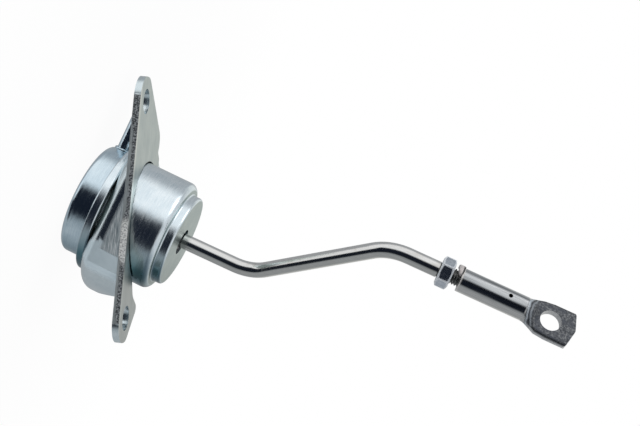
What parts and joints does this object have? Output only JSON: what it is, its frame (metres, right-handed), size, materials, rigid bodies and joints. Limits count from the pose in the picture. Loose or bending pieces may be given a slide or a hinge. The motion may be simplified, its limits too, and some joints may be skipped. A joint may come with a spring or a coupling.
{
  "type": "wastegate actuator",
  "caption": "Canister wastegate actuator: rolling diaphragm and return spring in a crimped can, pressed two-eared bracket, cranked rod and screwed rod end with an eye.",
  "frame": {"origin": "midway between the two bracket holes, on the bracket's face at the rod side", "axes": "+Z along the canister axis towards the rod end; +X across it towards the lower ear; +Y away from the bracket's straight sheared edge"},
  "size_m": [0.0965, 0.0702, 0.1893],
  "materials": {
    "bracket_zinc": "satin zinc plate, bare steel at the sheared edges",
    "can_zinc": "bright zinc plate",
    "rod_steel": "bright drawn steel",
    "nut_zinc": "bluish zinc plate",
    "end_steel": "polished tube, dark matt pressed eye",
    "pressed_steel": "plain pressed steel",
    "spring_steel": "dark spring wire",
    "rubber": "fabric-backed rubber",
    "guide_plastic": "moulded plastic"
  },
  "bodies": {
    "can": {"mounting_bracket": "bracket_zinc", "rod_housing": "can_zinc", "pressure_cap": "can_zinc", "hose_nipple": "can_zinc", "diaphragm": "rubber", "return_spring": "spring_steel", "rod_guide": "guide_plastic", "guide_retainer": "pressed_steel"},
    "rod": {"actuator_rod": "rod_steel", "piston_cup": "pressed_steel", "diaphragm_plate": "pressed_steel"},
    "nut": {"lock_nut": "nut_zinc"},
    "end": {"rod_end": "end_steel"}
  },
  "joints": [
    {"name": "rod_stroke", "type": "slide", "parent": "can", "child": "rod", "axis": [-0.0175, 0, 0.9998], "range_m": [0, 0.01], "stiffness_N_per_m": 5000, "springref_m": -0.015, "deforming": ["return_spring", "diaphragm"]},
    {"name": "lock_nut_turn", "type": "hinge", "parent": "rod", "child": "nut", "pos_m": [-0.02968, -0.01458, 0.11547], "axis": [-0.0175, 0, 0.9998], "range_deg": [-180, 180]},
    {"name": "rod_end_turn", "type": "hinge", "parent": "rod", "child": "end", "pos_m": [-0.03009, -0.01458, 0.13911], "axis": [-0.0175, 0, 0.9998], "range_deg": [-180, 180]}
  ]
}
